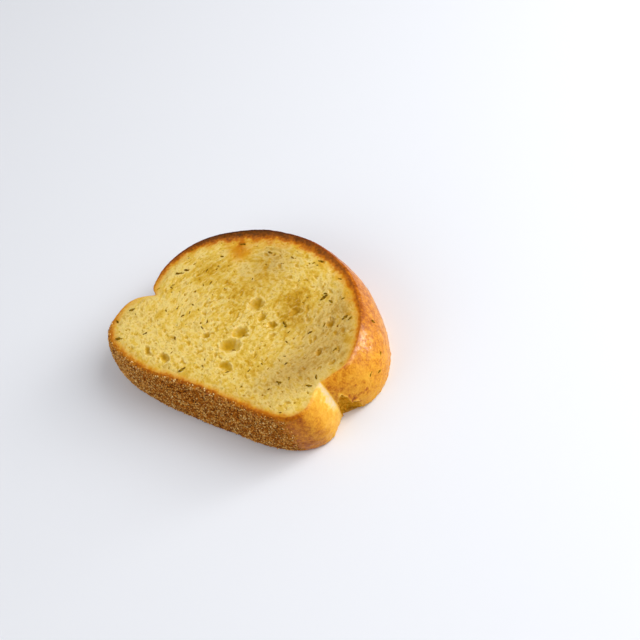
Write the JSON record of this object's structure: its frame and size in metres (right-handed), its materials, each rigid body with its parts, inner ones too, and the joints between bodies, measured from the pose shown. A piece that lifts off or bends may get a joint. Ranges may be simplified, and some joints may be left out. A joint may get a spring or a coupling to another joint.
{
  "type": "garlic bread slice",
  "caption": "Thick toasted slice of garlic bread with a domed crust over a wider foot, herbs on its open crumb and a semolina-dusted sole.",
  "frame": {"origin": "middle of the underside, which is the lower cut face", "axes": "+X along the loaf's sole, +Y from the sole towards the top of the dome, +Z through the slice, out of the upper cut face"},
  "size_m": [0.1476, 0.1058, 0.0284],
  "materials": {
    "crumb": "buttered open crumb, pale yellow",
    "crust": "baked golden to dark brown crust, satin",
    "semolina": "coarse toasted semolina, matte",
    "herb": "dried dark green herb flakes, matte"
  },
  "bodies": {
    "root": {"bread_slice": "crumb"}
  },
  "joints": []
}
